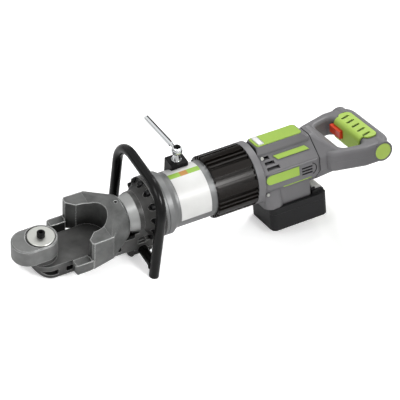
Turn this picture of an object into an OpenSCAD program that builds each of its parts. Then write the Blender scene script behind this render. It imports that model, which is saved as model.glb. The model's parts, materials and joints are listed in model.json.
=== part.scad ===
// Cordless hydraulic rebar bender, in millimetres.
// The origin is where the tool's long axis meets the upright axis of the bending die.
// X runs from the die back to the handle, Y to the lever's side and Z is up.
// The motor and handle are turned about X against the bending head, as they are screwed together.

/* [Bending head] */
// Radius of the die's round back, which the bar is bent around
die_r = 26; // [23:0.5:28]
// Distance from the die's post to the centre of its front lobe
die_lobe = 22; // [16:1:28]
// Height of the die
die_h = 30; // [26:1:34]
// Radius of the fixed post that carries the die
post_r = 14; // [12:0.5:16]
// Radius of the plated disc that holds the die down
disc_r = 21.5; // [19:0.5:22]
// Thickness of the plated disc
disc_t = 4.5; // [3:0.5:6]
// Width of the tongue that carries the die
tongue_w = 63; // [58:1:66]
// Height of the tongue
tongue_h = 26; // [22:1:30]
// Drop from the tool's axis to the top of the tongue
tongue_drop = 24; // [23.5:0.5:26]
// Depth of the pockets in the tongue's sides
pocket_depth = 12; // [6:1:16]

/* [Fork and ram] */
// Distance from the die's axis to the fork's arms when the ram is in
fork_reach = 61; // [58:1:66]
// Length of the fork without its lips
fork_len = 74; // [70:1:80]
// Width over the fork's arms
fork_w = 112; // [106:1:118]
// Radius of the round bottom of the fork's mouth
mouth_r = 31.5; // [29:0.5:33]
// Width of the flared mouth at the front of the arms
mouth_w = 90; // [84:1:94]
// Height of the arms' flat tops above the tool's axis
arm_top = 22; // [20:0.5:26]
// Radius of the fork's round hub
hub_r = 36; // [32:0.5:38]
// Length of the lips in front of the arms
lip_len = 28; // [24:1:32]
// Height of the lips
lip_h = 19.5; // [18:0.5:24]
// Thickness of the lips
lip_t = 15; // [12:0.5:18]
// Radius of the piston rod
rod_r = 21; // [18:0.5:22]
// Travel of the ram
stroke = 55; // [45:1:57]

/* [Collar and cylinder] */
// Length of the bright gland nose
nose_len = 15; // [12:1:18]
// Radius of the collar behind the nose
collar_r = 34; // [33:0.5:37]
// Length of the collar and its cone
collar_len = 24; // [22:1:28]
// Radius of the bolted flange
flange_r = 51; // [50:0.5:54]
// Thickness of the bolted flange
flange_t = 15; // [12:1:17]
// Number of flange screws
screw_count = 12; // [10:1:12]
// Radius of the screws' circle
screw_circle = 45.2; // [44.8:0.1:45.4]
// Length of the cylinder's front flange
head_len = 22; // [18:1:26]
// Length of the cylinder's slim sleeve
sleeve_len = 69; // [66:1:74]
// Outer radius of the cylinder's sleeve
sleeve_r = 45.5; // [44:0.5:47]
// Radius of the cylinder's bore
bore_r = 34; // [31:0.5:35]

/* [Stand loop] */
// Radius of the bent round bar
bar_r = 8; // [7:0.5:9]
// Width between the legs' centres
loop_w = 147.6; // [140:0.2:156]
// Height of the top bar above the tool's axis
loop_top = 91; // [86:1:104]
// Depth of the cross bar below the tool's axis
cross_drop = 54; // [53:1:58]
// Length of the feet below the cross bar
foot_len = 20.3; // [19:0.1:28]
// Bend radius at the top corners
bend_r = 44; // [30:1:50]
// Lean of the loop, in degrees
loop_lean = 3.9; // [0:0.1:6]

/* [Release valve] */
// Height of the valve block's top above the tool's axis
block_top = 50; // [49:0.5:54]
// Radius of the lever's ball
ball_r = 9; // [7.5:0.5:10]
// Reach of the lever from its spindle
lever_reach = 88; // [70:1:96]
// Radius of the lever rod
lever_r = 4.5; // [3.5:0.5:5]

/* [Motor housing] */
// Length of the ribbed housing
rib_len = 70; // [64:1:78]
// Outer radius over the ribs
rib_r = 51.3; // [50:0.1:53]
// Depth of the grooves between the ribs
groove_depth = 5.5; // [3:0.5:6]
// Number of broad lands around the housing
land_count = 9; // [8:1:10]
// Width of the broad lands
land_w = 13; // [11:0.5:14]
// Length of the motor cover
cover_len = 114; // [112:1:124]
// Radius of the motor's can
motor_r = 27; // [25:0.5:28]
// Turn of the motor and handle against the head, in degrees
handle_turn = 15; // [0:1:20]

/* [Handle] */
// Length of the handle behind the cover
handle_len = 122.5; // [116:0.5:130]
// Width of each side arm of the handle
arm_w = 20.5; // [16.5:0.5:25.5]
// Thickness of the arms and grip
handle_t = 35; // [34:1:40]
// Depth of the finger opening
opening_d = 38; // [34:1:42]
// Width of the finger opening
opening_w = 99; // [90:1:102]
// Travel of the trigger
trigger_travel = 6; // [4:0.5:7]
// Thickness of the soft grip sleeve
pad_t = 2.5; // [2:0.5:4]

/* [Battery] */
// Length of the battery pack
pack_len = 102; // [100:1:112]
// Width of the battery pack
pack_w = 73; // [71:1:80]
// Height of the battery pack below its rails
pack_h = 42; // [41.5:0.5:48]
// Wall of the battery pack's case
pack_wall = 2; // [1.6:0.1:2.2]

/* [Clearances] */
// Radial clearance of a running fit
run_gap = 0.05; // [0.03:0.01:0.08]
// Gap between pieces that slide past each other
slide_gap = 0.3; // [0.2:0.05:0.5]

/* [Hidden] */
$fn = 64;
hull_fn = 32;
eps = 0.01;

// Heights of the tongue and the fork
tongue_top = -tongue_drop;
tongue_bottom = tongue_top - tongue_h;
half_tongue = tongue_w / 2;
nose_round_x = 8;
bow_x = nose_round_x + 4;
bow_r = 40;
die_top = 16;
die_bottom = die_top - die_h;
disc_seat = die_top - disc_t + 0.7;
fork_rear = fork_reach + fork_len;
mouth_x = fork_reach + 16;
lip_top = -15;
lip_bottom = lip_top - lip_h;
rod_seat = mouth_x + mouth_r + 4;

// Stations along the axis, from the fork back to the handle
nose_x = fork_rear + 3;
collar_x = nose_x + nose_len;
flange_x = collar_x + collar_len;
cyl_x = flange_x + flange_t;
sleeve_x = cyl_x + head_len;
rib_x = sleeve_x + sleeve_len;
cover_x = rib_x + rib_len;
handle_x = cover_x + cover_len;
rear_x = handle_x + handle_len;

// The piston's chamber
piston_t = 14;
bore_end = cyl_x + 4 + stroke + piston_t + 2;
piston_x = bore_end - 1 - piston_t;

// Flange screws, metric size 6
m6_r = 3;
m6_head_r = 5;
m6_head_h = 6;
screw_grip = 26;
cone_r = flange_r - 4;

// The stand loop's seat under the frame
loop_set_back = 2.1;
bar_x = (collar_x + flange_x) / 2 - loop_set_back - cross_drop * sin(loop_lean);
bar_z = -cross_drop * cos(loop_lean);
loop_x = bar_x + cross_drop * sin(loop_lean);
clamp_len = 42;
clamp_w = 54;
clamp_drop = bar_r + 5;
clamp_screw_x = bar_r + 6.5;
clamp_screw_y = 22;

// The release valve stands beside the top of the sleeve
block_x = sleeve_x + 18;
block_len = 29;
block_y = 18;
block_w = 24;
valve_x = block_x + block_len / 2;
valve_y = block_y + block_w / 2;
spindle_r = 4;
ball_z = block_top + ball_r + 11;
lever_yaw = 6;

// Pump, gears and motor inside the housings
housing_bore = rib_r - groove_depth - 3;
pump_r = 32;
shaft_r = 7;
cap_t = 16;
gear_len = 20;
gear_r = motor_r + 6;
motor_x = cover_x + gear_len + 1;
motor_len = 62;
can_wall = 3;
rotor_r = motor_r - can_wall - 1;
rotor_shaft_r = 4;
fan_len = 9;
cavity_len = gear_len + motor_len + fan_len + 14;
cavity_r = gear_r + 1.5;

// The cover's outline, seen along the axis
cover_top = 40;
cover_side = 44;
pod_top = 13;
pod_bottom = -16;
pod_out = 2;
panel_top = cover_top + 10;
panel_len = 86;
panel_w = 34;
panel_x = cover_x + 18;
pod_r = (pod_top - pod_bottom) / 2 - 0.5;
vent_tall = 4.2;
vent_pitch = 6.6;
vent_len = 22;
low_vent_tall = 2.8;
low_vent_pitch = 5.2;
badge_len = cover_len * 0.52;
strip_len = cover_len * 0.55;
seam = 1.5;

// Tilt and distance of the cover's sloped shoulders
shoulder_tilt = atan2(cover_top - pod_top - 4, cover_side - 18) + 1.65;
shoulder_out = 10 * sin(shoulder_tilt) + (cover_top - 9) * cos(shoulder_tilt) + 9;

// The D handle
edge_r = 7;
half_grip = handle_t / 2;
neck_len = (handle_len - opening_d) * 0.485;
handle_w = opening_w + 2 * arm_w;
neck_half = opening_w / 2 - 11.5;
opening_x = handle_x + neck_len;
grip_x = opening_x + opening_d;
grip_depth = rear_x - grip_x;
cap_r = 14;
cap_x = rear_x - 19.5;
cap_z = 1;

// The trigger and its switch
trigger_y0 = 12;
trigger_y1 = 43;
trigger_z0 = -5;
trigger_z1 = 9;
trigger_out = 9.5;
trigger_in = 12;
switch_x = grip_x + trigger_in + trigger_travel + 1;
switch_len = grip_depth * 0.31;

// The battery pack and its dock
dock_x = cover_x + 21;
dock_len = 84;
dock_half = 30;
dock_bottom = -60;
pack_x = dock_x + 6;
pack_top = dock_bottom - slide_gap;
pack_bottom = pack_top - pack_h;
pack_mid = pack_top - 11;
cell_lift = 1.2;
cell_floor = pack_bottom + pack_wall + cell_lift;
board_x = dock_x + 9;
board_len = dock_len - 22;
board_half = dock_half * 0.7;
rail_half = 25;
rail_neck = 20;
rail_h = 4;
rail_x = dock_x + 12;
cell_gap = 0.4;
cell_pitch = (pack_h - 2 * pack_wall - cell_lift) / 2;
cell_r = (cell_pitch - cell_gap) / 2;
cell_slack = 2;
cell_len = pack_w - 2 * (pack_wall + cell_slack);
pack_front_r = 10;
pack_rear_r = 8;
cell_x = pack_x + pack_wall + cell_r + 3;
cell_count = floor((pack_len - 2 * pack_wall - 3) / cell_pitch);
latch_x = dock_x + dock_len + 4;
latch_len = pack_x + pack_len - latch_x - 3;
latch_half = 22;
latch_travel = 2.5;
latch_z = pack_top + 2.2;

// Draws its children along X, starting at x
module along_x(x) {
    translate([x, 0, 0]) rotate([0, 90, 0]) children();
}

// A plain round bar along X
module bar_x_way(x, r, len) {
    along_x(x) cylinder(r = r, h = len);
}

// A ring along X
module ring_x_way(x, r_out, r_in, len) {
    along_x(x) difference() {
        cylinder(r = r_out, h = len);
        translate([0, 0, -1]) cylinder(r = r_in, h = len + 2);
    }
}

// Turns the motor and handle about the axis, near side up
module turned() {
    rotate([-handle_turn, 0, 0]) children();
}

// Copies its children to the other side of the middle plane
module both_sides() {
    children();
    mirror([0, 1, 0]) children();
}

// A cap screw with a hexagon socket, its head's underside at the origin and its shank below
module cap_screw(r, head_r, head_h, len) {
    difference() {
        union() {
            cylinder(r = head_r, h = head_h - 0.6);
            translate([0, 0, head_h - 0.6]) cylinder(r1 = head_r, r2 = head_r - 0.6, h = 0.6);
            translate([0, 0, -len]) cylinder(r = r, h = len);
        }
        translate([0, 0, head_h * 0.45]) cylinder(r = head_r * 0.52, h = head_h, $fn = 6);
    }
}

// A plan with round ends, from the circle at the origin to one at x
module stadium(x, r) {
    circle(r = r);
    translate([x, 0]) circle(r = r);
    translate([min(0, x), -r]) square([abs(x), 2 * r]);
}

// A box with round upright corners
module soft_box(size, r) {
    for (x = [r, size[0] - r], y = [r, size[1] - r]) {
        translate([x, y, 0]) cylinder(r = r, h = size[2]);
    }
    translate([r, 0, 0]) cube([size[0] - 2 * r, size[1], size[2]]);
    translate([0, r, 0]) cube([size[0], size[1] - 2 * r, size[2]]);
}

// Seen from above, the tongue is a straight beam with a round nose
module tongue_plan() {
    translate([nose_round_x, 0]) circle(r = half_tongue);
    translate([nose_round_x, -half_tongue]) square([cyl_x - flange_t - nose_round_x, tongue_w]);
}

// Seen from the side, its nose is a long curve that ends under the die
module nose_curve(r) {
    intersection() {
        translate([bow_x, tongue_bottom + bow_r]) circle(r = r);
        translate([bow_x - bow_r, tongue_bottom]) square([bow_r + eps, tongue_h]);
    }
}

module tongue_side() {
    nose_curve(bow_r);
    polygon([
        [bow_x, tongue_top], [flange_x, tongue_top], [flange_x, tongue_bottom - 2],
        [bar_x - clamp_len / 2 - 6, tongue_bottom], [bow_x, tongue_bottom]
    ]);
}

// A pocket in each flank of the tongue, between its ribs
module flank_pocket() {
    both_sides() translate([0, half_tongue + 1, 0]) rotate([90, 0, 0]) {
        linear_extrude(height = pocket_depth + 1) children();
    }
}

// The holes for the flange screws
module screw_ring() {
    for (i = [0 : screw_count - 1]) {
        rotate([(i + 0.5) * 360 / screw_count, 0, 0]) translate([0, 0, screw_circle]) children();
    }
}

module frame_casting() color("dimgray") {
    web = 6;
    floor_z = tongue_bottom + web;
    roof_z = tongue_top - 10;
    difference() {
        union() {
            intersection() {
                translate([0, 0, tongue_bottom - 10]) {
                    linear_extrude(height = tongue_h + 10) tongue_plan();
                }
                rotate([90, 0, 0]) linear_extrude(height = tongue_w, center = true) tongue_side();
            }
            translate([0, 0, tongue_top - 1]) cylinder(r = post_r, h = disc_seat - 0.5 - tongue_top + 1);
            translate([0, 0, tongue_top - 1]) {
                cylinder(r1 = die_r - 1, r2 = die_r - 3, h = die_bottom - slide_gap - tongue_top + 1);
            }
            // The block that joins the tongue to the collar and holds the stand loop
            translate([collar_x - 8, -half_tongue, bar_z]) {
                cube([flange_x - collar_x + 8, tongue_w, -bar_z - 4]);
            }
            translate([bar_x - clamp_len / 2, -clamp_w / 2, bar_z]) {
                cube([clamp_len, clamp_w, tongue_top - bar_z - 1]);
            }
            bar_x_way(collar_x, collar_r, collar_len);
            along_x(collar_x + collar_len / 3) {
                cylinder(r1 = collar_r, r2 = cone_r, h = collar_len * 2 / 3 + eps);
            }
            bar_x_way(flange_x, flange_r, flange_t);
        }
        // Clear of the gland nose in front of the collar
        bar_x_way(collar_x - 20, collar_r + 1, 20);
        // Seat of the gland and passage of the rod
        bar_x_way(collar_x - 1, rod_r + 5, collar_len * 0.6 + 1);
        bar_x_way(collar_x, rod_r + 1, collar_len + flange_t + 1);
        // Spot faces cut into the cone, and the holes behind them
        screw_ring() {
            bar_x_way(collar_x, m6_head_r + 0.6, collar_len);
            bar_x_way(flange_x - 1, m6_r + 0.2, flange_t + 2);
        }
        // Pockets between the tongue's ribs
        flank_pocket() intersection() {
            nose_curve(bow_r - web);
            translate([-half_tongue, tongue_bottom]) square([half_tongue + 11, 16]);
        }
        flank_pocket() translate([11 - eps, floor_z]) square([4, roof_z - floor_z]);
        for (x = [28, 54, 80, 106]) {
            flank_pocket() translate([x, floor_z]) square([16, roof_z - floor_z]);
        }
        // Side recesses of the block under the collar
        both_sides() translate([collar_x - 2, half_tongue - 6, tongue_top - 16]) cube([14, 10, 12]);
        // Half round saddle for the stand loop's cross bar, and the clamp screws' holes
        translate([bar_x, -tongue_w, bar_z]) rotate([-90, 0, 0]) {
            cylinder(r = bar_r, h = 2 * tongue_w);
        }
        clamp_screw_places() translate([0, 0, bar_z - 1]) cylinder(r = 2.5, h = 13);
        // Tapped hole for the die's screw
        translate([0, 0, tongue_top + 6]) cylinder(r = 4, h = 60);
    }
}

module die_block() color("gray") {
    chamfer = 2;
    recess_r = disc_r + 2;
    difference() {
        translate([0, 0, die_bottom]) union() {
            linear_extrude(height = die_h - chamfer) stadium(-die_lobe, die_r);
            for (x = [0, -die_lobe]) {
                translate([x, 0, die_h - chamfer]) {
                    cylinder(r1 = die_r, r2 = die_r - chamfer, h = chamfer);
                }
            }
            translate([-die_lobe, 0, die_h - chamfer]) rotate([90, 0, 90]) {
                linear_extrude(height = die_lobe) polygon([
                    [-die_r, 0], [die_r, 0], [die_r - chamfer, chamfer], [chamfer - die_r, chamfer]
                ]);
            }
        }
        translate([0, 0, die_bottom - 1]) cylinder(r = post_r + run_gap, h = die_h + 2);
        translate([-1.2, 0, disc_seat - slide_gap]) cylinder(r = recess_r, h = die_h);
    }
}

module die_disc() color("gainsboro") translate([0, 0, disc_seat]) {
    difference() {
        union() {
            translate([0, 0, -0.5]) cylinder(r = post_r - 2, h = 1);
            cylinder(r = disc_r, h = disc_t - 0.8);
            translate([0, 0, disc_t - 0.8]) cylinder(r1 = disc_r, r2 = disc_r - 0.8, h = 0.8);
        }
        translate([0, 0, -1]) cylinder(r = 4.2, h = disc_t + 2);
    }
}

module die_screw() color("black") {
    translate([0, 0, disc_seat + disc_t]) cap_screw(4, 6.5, 8, 30);
}

// Seen from the side, an arm stands on its skirt and ends in a low lip
module arm_side() {
    polygon([
        [fork_reach, arm_top], [fork_rear - 30, arm_top], [fork_rear - 30, tongue_top + slide_gap],
        [fork_reach + 41, tongue_top + slide_gap], [fork_reach + 12, lip_bottom + 4],
        [fork_reach - 4, lip_bottom], [fork_reach - lip_len + 3, lip_bottom],
        [fork_reach - lip_len, lip_bottom + 4], [fork_reach - lip_len, lip_top - 2],
        [fork_reach - lip_len + 2, lip_top], [fork_reach, lip_top]
    ]);
}

// Seen from above, the arms narrow towards the hub
module fork_plan() {
    half = fork_w / 2;
    polygon([
        [fork_reach, -half + 3], [fork_reach + 3, -half], [fork_reach + 36, -half + 1],
        [fork_rear - 20, -hub_r - 6], [fork_rear - 20, hub_r + 6],
        [fork_reach + 36, half - 1], [fork_reach + 3, half], [fork_reach, half - 3]
    ]);
}

module fork() color("slategray") {
    half = fork_w / 2;
    skirt_in = half_tongue + 1;
    difference() {
        union() {
            // Tall arms, the full depth of their side outline
            intersection() {
                translate([0, 0, lip_bottom - 1]) linear_extrude(height = 80) fork_plan();
                rotate([90, 0, 0]) linear_extrude(height = fork_w, center = true) arm_side();
            }
            // Lips in front of the arms
            intersection() {
                both_sides() translate([fork_reach - lip_len, half - lip_t - 1, lip_bottom - 1]) {
                    soft_box([lip_len + 12, lip_t, lip_h + 1], 4);
                }
                rotate([90, 0, 0]) linear_extrude(height = fork_w, center = true) arm_side();
            }
            // The forged body swells from the flat arms into the round hub
            hull() {
                translate([fork_reach + 32, -half + 1, tongue_top + slide_gap]) {
                    cube([4, 2 * half - 2, arm_top - tongue_top - slide_gap]);
                }
                along_x(fork_rear - 16) cylinder(r = hub_r, h = 14, $fn = hull_fn * 2);
            }
            along_x(fork_rear - 2) cylinder(r1 = hub_r, r2 = hub_r - 2, h = 2);
        }
        // Round mouth with flared cheeks
        translate([mouth_x, 0, lip_bottom - 2]) cylinder(r = mouth_r, h = 100);
        translate([0, 0, lip_bottom - 2]) linear_extrude(height = 100) polygon([
            [fork_reach - lip_len - 1, -half + lip_t + 1], [fork_reach - 1, -half + lip_t + 1],
            [fork_reach - 1, -mouth_w / 2], [mouth_x - 3, -mouth_r], [mouth_x, -mouth_r],
            [mouth_x, mouth_r], [mouth_x - 3, mouth_r], [fork_reach - 1, mouth_w / 2],
            [fork_reach - 1, half - lip_t - 1], [fork_reach - lip_len - 1, half - lip_t - 1]
        ]);
        // Clear of the tongue, which the fork slides on
        translate([0, -skirt_in, lip_bottom - 2]) {
            cube([fork_rear + 1, 2 * skirt_in, tongue_top + slide_gap - lip_bottom + 2]);
        }
        translate([fork_reach + 41, -half, lip_bottom - 20]) {
            cube([fork_len, fork_w, tongue_top + slide_gap - lip_bottom + 20]);
        }
        // Seat of the rod, and the grub screw's hole above it
        bar_x_way(rod_seat, rod_r - 3, fork_len);
        translate([fork_rear - 9, 0, 0]) cylinder(r = 2.5, h = hub_r + 10);
    }
}

module fork_grub_screw() color("black") {
    translate([fork_rear - 9, 0, rod_r - 3 + eps]) difference() {
        cylinder(r = 2.5 - run_gap, h = 10);
        translate([0, 0, 7]) cylinder(r = 1.4, h = 4, $fn = 6);
    }
}

module piston_rod() color("lightgray") {
    bar_x_way(rod_seat, rod_r - 3, fork_rear - rod_seat);
    bar_x_way(fork_rear, rod_r, piston_x - fork_rear);
    bar_x_way(piston_x, rod_r - 7, piston_t);
}

module piston() color("silver") difference() {
    bar_x_way(piston_x, bore_r - run_gap, piston_t);
    bar_x_way(piston_x - 1, rod_r - 7, piston_t + 2);
    for (x = [3, 9]) ring_x_way(piston_x + x, bore_r + 1, bore_r - 3, 3);
}

module piston_seals() color("black") {
    for (x = [3, 9]) ring_x_way(piston_x + x, bore_r - 0.03, bore_r - 3, 3);
}

module gland_nose() color("silver") difference() {
    union() {
        along_x(nose_x) cylinder(r1 = collar_r - 5.5, r2 = collar_r, h = nose_len);
        bar_x_way(collar_x, rod_r + 5, collar_len * 0.6);
    }
    bar_x_way(nose_x - 1, rod_r + run_gap, nose_len + collar_len);
    bar_x_way(nose_x - 1, rod_r + 3, 5);
}

module rod_wiper() color("black") {
    ring_x_way(nose_x, rod_r + 3, rod_r + run_gap, 4);
}

module flange_screws() color("black") screw_ring() {
    along_x(flange_x) rotate([0, 180, 0]) cap_screw(m6_r, m6_head_r, m6_head_h, screw_grip);
}

module cylinder_body() color("darkgray") difference() {
    union() {
        bar_x_way(cyl_x, flange_r, head_len - 8);
        along_x(cyl_x + head_len - 8) cylinder(r1 = flange_r, r2 = sleeve_r, h = 8);
        bar_x_way(sleeve_x, sleeve_r, sleeve_len);
    }
    bar_x_way(cyl_x - 1, bore_r, bore_end - cyl_x + 1);
    // Fine groove that marks the flange
    ring_x_way(cyl_x + 4, flange_r + 1, flange_r - 1, 1.2);
    screw_ring() bar_x_way(cyl_x - 1, m6_r, screw_grip - flange_t + 2);
    // Oil way from the pump, and the release way up to the valve
    bar_x_way(bore_end - 1, 3, rib_x - bore_end + 2);
    translate([valve_x, valve_y, 0]) cylinder(r = 2, h = sleeve_r);
}

// One leg with its bent corner, on the positive side
module loop_half() {
    half = loop_w / 2;
    translate([0, half, -cross_drop - foot_len]) {
        cylinder(r = bar_r, h = loop_top + cross_drop + foot_len - bend_r);
    }
    translate([0, half - bend_r, loop_top - bend_r]) rotate([90, 0, 90]) {
        rotate_extrude(angle = 90) translate([bend_r, 0]) circle(r = bar_r);
    }
    translate([0, -eps, loop_top]) rotate([-90, 0, 0]) cylinder(r = bar_r, h = half - bend_r + eps);
    translate([0, -eps, -cross_drop]) rotate([-90, 0, 0]) cylinder(r = bar_r, h = half + eps);
}

module stand_loop() color("black") {
    translate([loop_x, 0, 0]) rotate([0, loop_lean, 0]) both_sides() loop_half();
}

// The four screws of the loop's clamp
module clamp_screw_places() {
    for (x = [-clamp_screw_x, clamp_screw_x], y = [-clamp_screw_y, clamp_screw_y]) {
        translate([bar_x + x, y, 0]) children();
    }
}

module loop_clamp() color("dimgray") difference() {
    translate([bar_x - clamp_len / 2, -clamp_w / 2, bar_z - clamp_drop]) {
        soft_box([clamp_len, clamp_w, clamp_drop - slide_gap], 4);
    }
    translate([bar_x, -clamp_w, bar_z]) rotate([-90, 0, 0]) cylinder(r = bar_r, h = 2 * clamp_w);
    clamp_screw_places() translate([0, 0, bar_z - 20]) cylinder(r = 2.7, h = 30);
}

module loop_clamp_screws() color("black") clamp_screw_places() {
    translate([0, 0, bar_z - clamp_drop]) mirror([0, 0, 1]) cap_screw(2.5, 4.2, 4, clamp_drop + 10);
}

module valve_block() color("dimgray") difference() {
    translate([block_x, block_y, 0]) cube([block_len, block_w, block_top]);
    bar_x_way(block_x - 1, sleeve_r, block_len + 2);
    translate([valve_x, valve_y, block_top - 14]) cylinder(r = spindle_r + run_gap, h = 15);
}

module valve_spindle() color("silver") translate([valve_x, valve_y, 0]) {
    translate([0, 0, block_top - 12]) cylinder(r = spindle_r, h = 12 + slide_gap + 1);
    translate([0, 0, block_top + slide_gap]) cylinder(r = 8, h = 1.5);
    translate([0, 0, block_top + slide_gap + 1.5]) {
        cylinder(r1 = 7.5, r2 = spindle_r, h = ball_z - ball_r + 0.7 - block_top - slide_gap - 1.5);
    }
    translate([0, 0, ball_z - ball_r]) cylinder(r = spindle_r, h = ball_r);
}

module lever_ball() color("silver") difference() {
    translate([valve_x, valve_y, ball_z]) sphere(r = ball_r);
    translate([valve_x, valve_y, ball_z + ball_r - 2]) cylinder(r = ball_r, h = 4);
    translate([valve_x, valve_y, ball_z - ball_r - 1]) cylinder(r = spindle_r, h = ball_r + 1);
    translate([valve_x, valve_y, ball_z]) rotate([-90, 0, lever_yaw]) {
        translate([0, 0, spindle_r]) cylinder(r = lever_r - 1.5, h = ball_r);
    }
}

module lever_rod() color("silver") translate([valve_x, valve_y, ball_z]) {
    shoulder = ball_r + 5;
    rotate([-90, 0, lever_yaw]) {
        translate([0, 0, spindle_r]) cylinder(r = lever_r - 1.5, h = shoulder - spindle_r + 1);
        translate([0, 0, shoulder]) cylinder(r1 = lever_r - 1.5, r2 = lever_r, h = 2);
        translate([0, 0, shoulder + 2]) cylinder(r = lever_r, h = lever_reach - shoulder - 3);
        translate([0, 0, lever_reach - 1]) cylinder(r1 = lever_r, r2 = lever_r - 1, h = 1);
    }
}

// Extruded housing: broad lands parted by three grooves with two thin fins between them
module ribbed_housing() color([0.13, 0.12, 0.11]) turned() difference() {
    fin_w = 3;
    slot_w = (2 * PI * rib_r / land_count - land_w - 2 * fin_w) / 3;
    slot_turn = (slot_w + fin_w) / rib_r * 180 / PI;
    union() {
        bar_x_way(rib_x, rib_r - 0.8, rib_len);
        bar_x_way(rib_x + 0.8, rib_r, rib_len - 1.6);
    }
    bar_x_way(rib_x - 1, housing_bore, rib_len + 2);
    cover_screw_places() bar_x_way(cover_x - 12, 1.75, 14);
    for (i = [0 : land_count - 1], k = [-1, 0, 1]) {
        rotate([(i + 0.5) * 360 / land_count + k * slot_turn, 0, 0]) {
            translate([rib_x - 1, -slot_w / 2, rib_r - groove_depth]) {
                cube([rib_len + 2, slot_w, groove_depth + 1]);
            }
        }
    }
}

module pump_body() color("silver") turned() difference() {
    union() {
        bar_x_way(rib_x, housing_bore, 3);
        bar_x_way(rib_x, pump_r, rib_len - cap_t);
    }
    bar_x_way(rib_x + 20, shaft_r + 8, rib_len);
    bar_x_way(rib_x - 1, 3, 30);
    // Plunger holes around the eccentric
    for (i = [0 : 2]) rotate([i * 120 + 60, 0, 0]) {
        translate([rib_x + 31, 0, shaft_r + 7]) cylinder(r = 5, h = pump_r);
    }
}

module oil_bladder() color("black") turned() {
    ring_x_way(rib_x + 4, housing_bore - 1, pump_r + eps, rib_len - cap_t - 6);
}

module pump_cap() color("silver") turned() difference() {
    bar_x_way(cover_x - cap_t, housing_bore, cap_t);
    bar_x_way(cover_x - cap_t - 1, shaft_r + 8, cap_t + 2);
}

module pump_shaft() color("lightgray") turned() {
    bar_x_way(rib_x + 22, shaft_r, cover_x + 6 - rib_x - 22);
    // Eccentric that drives the plungers
    translate([rib_x + 26, 0, 1.5]) along_x(0) cylinder(r = shaft_r + 3, h = 10);
}

module shaft_bearings() color("silver") turned() {
    for (x = [rib_x + 39, cover_x - 12]) {
        ring_x_way(x, shaft_r + 8, shaft_r + run_gap, shaft_r + 1);
    }
}

module gear_case() color("darkgray") turned() difference() {
    bar_x_way(cover_x, gear_r, gear_len);
    bar_x_way(cover_x - 1, shaft_r + run_gap, 9);
    bar_x_way(cover_x + gear_len - 7, rotor_shaft_r + run_gap, 8);
}

module motor_can() color("gray") turned() difference() {
    bar_x_way(motor_x - 1, motor_r, motor_len + 1);
    bar_x_way(motor_x + 6, motor_r - can_wall, motor_len - 12);
    bar_x_way(motor_x - 2, rotor_shaft_r + 5, motor_len + 3);
    // Air slots in the end of the can
    for (i = [0 : 5]) rotate([i * 60, 0, 0]) {
        translate([motor_x + motor_len - 8, -3, motor_r - 12]) cube([10, 6, 7]);
    }
}

module motor_rotor() color("peru") turned() {
    bar_x_way(cover_x + gear_len - 6, rotor_shaft_r, motor_len + fan_len + 10);
    bar_x_way(motor_x + 12, rotor_r, motor_len - 26);
    bar_x_way(motor_x + motor_len - 13, rotor_r - 8, 6);
}

module rotor_bearings() color("silver") turned() {
    for (x = [motor_x - 1, motor_x + motor_len - 5]) {
        ring_x_way(x, rotor_shaft_r + 5, rotor_shaft_r + run_gap, rotor_shaft_r + 1);
    }
}

module cooling_fan() color("dimgray") turned() {
    fan_x = motor_x + motor_len + 2;
    ring_x_way(fan_x, rotor_shaft_r + 4, rotor_shaft_r, fan_len - 2);
    ring_x_way(fan_x, motor_r - 2, rotor_shaft_r + 3, 1.5);
    for (i = [0 : 8]) rotate([i * 40, 0, 0]) {
        translate([fan_x, -0.6, rotor_shaft_r + 3]) cube([fan_len - 2, 1.2, motor_r - rotor_shaft_r - 6]);
    }
}

// The moulded outline of the cover, seen along the axis with up to the right
module cover_outline(inset = 0) {
    rotate([0, 0, 180]) hull() {
        for (side = [-1, 1]) {
            translate([cover_top - 9, side * 10]) circle(r = 9 - inset, $fn = hull_fn);
            translate([pod_top - 5, side * (cover_side - 8)]) circle(r = 8 - inset, $fn = hull_fn);
            translate([pod_bottom + 7, side * (cover_side - 7)]) circle(r = 7 - inset, $fn = hull_fn);
            translate([12 - cover_top, side * 16]) circle(r = 12 - inset, $fn = hull_fn);
        }
    }
}

// Long pods with round ends on both sides of the cover
module side_pod(x, len, z, r, out) {
    both_sides() translate([x, cover_side - 4, z]) rotate([-90, 0, 0]) {
        translate([r, 0, 0]) cylinder(r = r, h = out + 4);
        translate([r, -r, 0]) cube([len - r, 2 * r, out + 4]);
    }
}

// Cuts one vent through both walls of the cover
module vent(x, z, len, tall) {
    both_sides() translate([x, cavity_r - 20, z]) cube([len, cover_side, tall]);
}

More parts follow.
